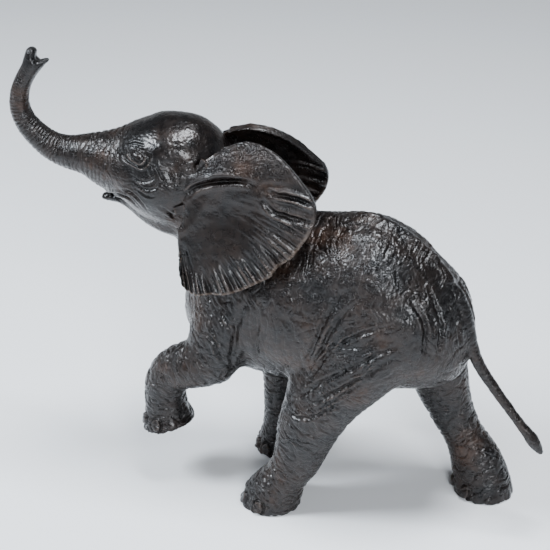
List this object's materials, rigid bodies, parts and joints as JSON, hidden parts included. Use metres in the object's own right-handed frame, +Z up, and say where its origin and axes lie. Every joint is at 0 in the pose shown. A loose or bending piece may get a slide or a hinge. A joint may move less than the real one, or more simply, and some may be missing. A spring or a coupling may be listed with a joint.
{
  "type": "elephant figurine",
  "caption": "Cast bronze elephant calf striding with one foreleg lifted and its trunk raised and curled back.",
  "frame": {"origin": "on the ground plane, midway along and across the elephant's bounding box", "axes": "+Z up, -X the way the elephant walks, -Y its left side"},
  "size_m": [0.3892, 0.122, 0.3281],
  "materials": {
    "patinated_bronze": "dark brown-black chemical patina under polished wax",
    "bare_bronze": "bare cast and turned bronze, hidden inside the figure"
  },
  "bodies": {
    "root": {"torso": "patinated_bronze", "head": "patinated_bronze", "trunk": "patinated_bronze", "lower_jaw": "patinated_bronze", "ear_left": "patinated_bronze", "ear_right": "patinated_bronze", "tail": "patinated_bronze", "foreleg_left": "patinated_bronze", "foreleg_right": "patinated_bronze", "hindleg_left": "patinated_bronze", "hindleg_right": "patinated_bronze", "core_plug_belly_front": "patinated_bronze", "core_plug_belly_rear": "patinated_bronze", "core_plug_right_flank": "patinated_bronze", "backing_ring_neck": "bare_bronze", "backing_ring_trunk": "bare_bronze", "backing_ring_foreleg_left": "bare_bronze", "backing_ring_foreleg_right": "bare_bronze", "backing_ring_hindleg_left": "bare_bronze", "backing_ring_hindleg_right": "bare_bronze", "pin_ear_left_upper": "bare_bronze", "pin_ear_left_lower": "bare_bronze", "pin_ear_right_upper": "bare_bronze", "pin_ear_right_lower": "bare_bronze", "pin_jaw_front": "bare_bronze", "pin_jaw_rear": "bare_bronze", "pin_tail": "bare_bronze"}
  },
  "joints": []
}
